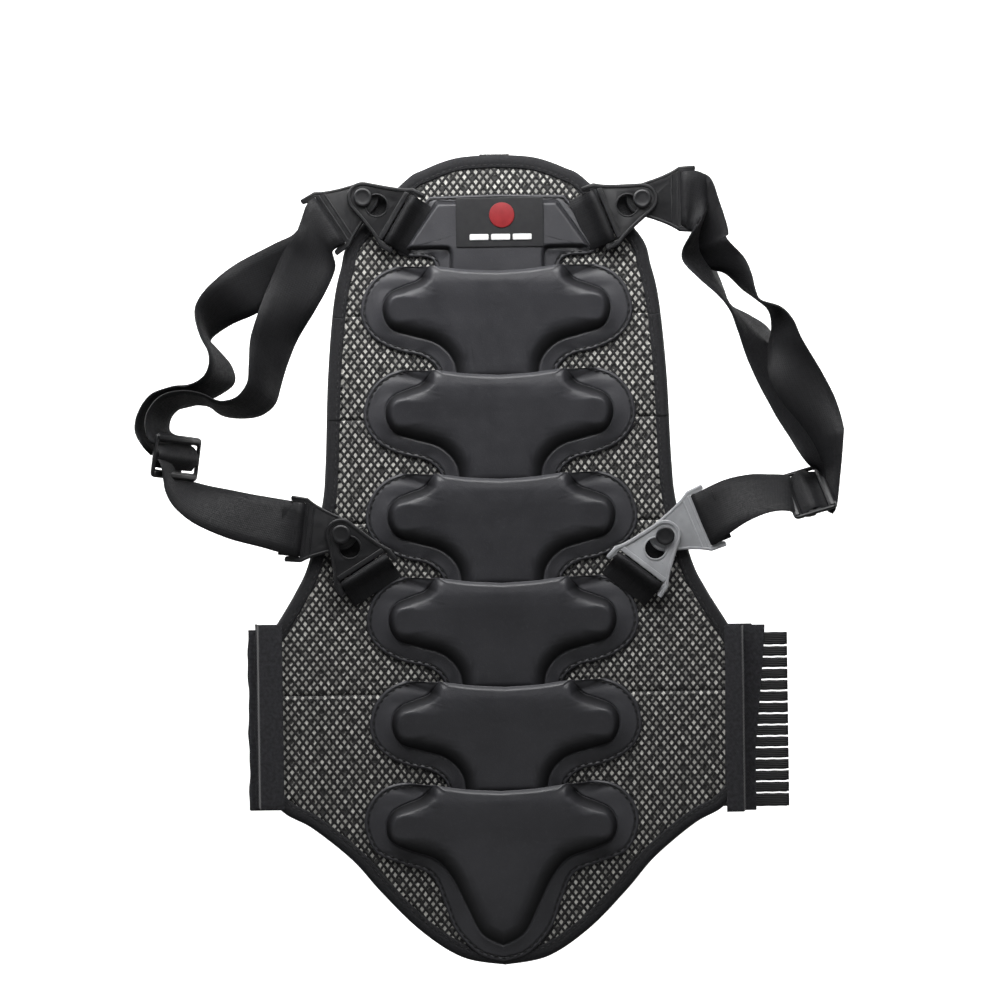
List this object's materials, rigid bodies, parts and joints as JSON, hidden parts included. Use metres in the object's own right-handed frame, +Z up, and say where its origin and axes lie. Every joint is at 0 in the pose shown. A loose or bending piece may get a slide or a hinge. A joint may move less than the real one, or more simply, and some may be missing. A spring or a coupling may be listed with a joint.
{
  "type": "back protector",
  "caption": "Segmented back protector: overlapping spine plates on a mesh panel with keyhole buckles, shoulder straps and a folding waist belt.",
  "frame": {"origin": "on the spine line, at the middle of the thoracic section's wearer-side face", "axes": "+Z up towards the neck, +X to the right seen from outside, +Y towards the wearer; the plates face -Y"},
  "size_m": [0.4838, 0.0381, 0.5663],
  "materials": {
    "foam": "soft foam core with a knitted lining, matt",
    "mesh": "silver grey spacer mesh with a black diamond net",
    "binding": "black woven binding tape, matt",
    "plate": "charcoal leatherette over a moulding, satin",
    "insert": "moulded impact foam, matt",
    "patch": "moulded rubber, matt",
    "webbing": "black woven webbing, slight sheen",
    "buckle": "moulded nylon, semi-gloss",
    "belt_fabric": "black brushed knit over a soft core",
    "elastic": "black ribbed elastic",
    "touch_tape": "hook and loop tape, matt"
  },
  "bodies": {
    "thoracic": {"foam_thoracic": "foam", "mesh_thoracic": "mesh", "binding_thoracic": "binding", "plate_2": "plate", "insert_2": "insert", "straps_thoracic": "webbing"},
    "shoulder": {"foam_shoulder": "foam", "mesh_shoulder": "mesh", "binding_shoulder": "binding", "plate_1": "plate", "insert_1": "insert", "straps_shoulder": "webbing"},
    "neck": {"foam_neck": "foam", "mesh_neck": "mesh", "binding_neck": "binding", "yoke_plate": "plate", "yoke_patch": "patch", "anchors_upper": "webbing", "keyhole_tabs_upper": "buckle"},
    "lower_back": {"foam_lower_back": "foam", "mesh_lower_back": "mesh", "binding_lower_back": "binding", "plate_3": "plate", "insert_3": "insert", "straps_lower_back": "webbing"},
    "lumbar": {"foam_lumbar": "foam", "mesh_lumbar": "mesh", "binding_lumbar": "binding", "plate_4": "plate", "plate_5": "plate", "inserts_lumbar": "insert", "anchors_lower": "webbing", "keyhole_tabs_lower": "buckle", "belt_left_base": "belt_fabric", "belt_right_base": "elastic"},
    "tail": {"foam_tail": "foam", "mesh_tail": "mesh", "binding_tail": "binding", "tail_plate": "plate", "insert_tail": "insert"},
    "left_wing": {"belt_left_wing": "belt_fabric", "belt_hook": "touch_tape"},
    "right_wing": {"belt_right_wing": "elastic", "belt_loop": "touch_tape"},
    "slider_left": {"slider_left": "buckle"},
    "slider_right": {"slider_right": "buckle"},
    "stud_upper_left": {"stud_upper_left": "buckle"},
    "strap_tab_upper_left": {"strap_tab_upper_left": "buckle", "strap_end_upper_left": "webbing"},
    "stud_upper_right": {"stud_upper_right": "buckle"},
    "strap_tab_upper_right": {"strap_tab_upper_right": "buckle", "strap_end_upper_right": "webbing"},
    "stud_lower_left": {"stud_lower_left": "buckle"},
    "strap_tab_lower_left": {"strap_tab_lower_left": "buckle", "strap_end_lower_left": "webbing"},
    "stud_lower_right": {"stud_lower_right": "buckle"},
    "strap_tab_lower_right": {"strap_tab_lower_right": "buckle", "strap_end_lower_right": "webbing"}
  },
  "joints": [
    {"name": "shoulder_flex", "type": "hinge", "parent": "thoracic", "child": "shoulder", "pos_m": [0, -0.0045, 0.03615], "axis": [-1, 0, 0], "range_deg": [-1.5, 15], "stiffness_Nm_per_rad": 4},
    {"name": "neck_flex", "type": "hinge", "parent": "shoulder", "child": "neck", "pos_m": [0, -0.0045, 0.10845], "axis": [-1, 0, 0], "range_deg": [-1.5, 15], "stiffness_Nm_per_rad": 4},
    {"name": "lower_back_flex", "type": "hinge", "parent": "thoracic", "child": "lower_back", "pos_m": [0, -0.0045, -0.03615], "axis": [1, 0, 0], "range_deg": [-1.5, 15], "stiffness_Nm_per_rad": 4},
    {"name": "lumbar_flex", "type": "hinge", "parent": "lower_back", "child": "lumbar", "pos_m": [0, -0.0045, -0.10845], "axis": [1, 0, 0], "range_deg": [-1.5, 15], "stiffness_Nm_per_rad": 4},
    {"name": "tail_flex", "type": "hinge", "parent": "lumbar", "child": "tail", "pos_m": [0, -0.0045, -0.275], "axis": [1, 0, 0], "range_deg": [-1.5, 15], "stiffness_Nm_per_rad": 4},
    {"name": "keyhole_slide_upper_left", "type": "slide", "parent": "neck", "child": "stud_upper_left", "axis": [0.8572, 0, -0.515], "range_m": [0, 0.011]},
    {"name": "strap_swivel_upper_left", "type": "hinge", "parent": "stud_upper_left", "child": "strap_tab_upper_left", "pos_m": [-0.0918, -0.014, 0.1547], "axis": [0, -1, 0], "range_deg": [-18, 18]},
    {"name": "keyhole_slide_upper_right", "type": "slide", "parent": "neck", "child": "stud_upper_right", "axis": [-0.9272, 0, -0.3746], "range_m": [0, 0.011]},
    {"name": "strap_swivel_upper_right", "type": "hinge", "parent": "stud_upper_right", "child": "strap_tab_upper_right", "pos_m": [0.1024, -0.014, 0.1511], "axis": [0, -1, 0], "range_deg": [-18, 18]},
    {"name": "keyhole_slide_lower_left", "type": "slide", "parent": "lumbar", "child": "stud_lower_left", "axis": [0.5299, 0, -0.848], "range_m": [0, 0.011]},
    {"name": "strap_swivel_lower_left", "type": "hinge", "parent": "stud_lower_left", "child": "strap_tab_lower_left", "pos_m": [-0.1101, -0.014, -0.0791], "axis": [0, -1, 0], "range_deg": [-18, 18]},
    {"name": "keyhole_slide_lower_right", "type": "slide", "parent": "lumbar", "child": "stud_lower_right", "axis": [-0.6157, 0, -0.788], "range_m": [0, 0.011]},
    {"name": "strap_swivel_lower_right", "type": "hinge", "parent": "stud_lower_right", "child": "strap_tab_lower_right", "pos_m": [0.1151, -0.014, -0.0832], "axis": [0, -1, 0], "range_deg": [-18, 18]},
    {"name": "left_wing_fold", "type": "hinge", "parent": "lumbar", "child": "left_wing", "pos_m": [-0.178, 0.0035, -0.20905], "axis": [0, 0, 1], "range_deg": [0, 170]},
    {"name": "right_wing_fold", "type": "hinge", "parent": "lumbar", "child": "right_wing", "pos_m": [0.2, 0.0035, -0.20905], "axis": [0, 0, -1], "range_deg": [0, 170]},
    {"name": "slider_left_adjust", "type": "slide", "parent": "thoracic", "child": "slider_left", "axis": [-0.766, 0, 0.6428], "range_m": [-0.003, 0.012]},
    {"name": "slider_right_adjust", "type": "slide", "parent": "lower_back", "child": "slider_right", "axis": [-0.5, 0, 0.866], "range_m": [-0.003, 0.012]}
  ]
}
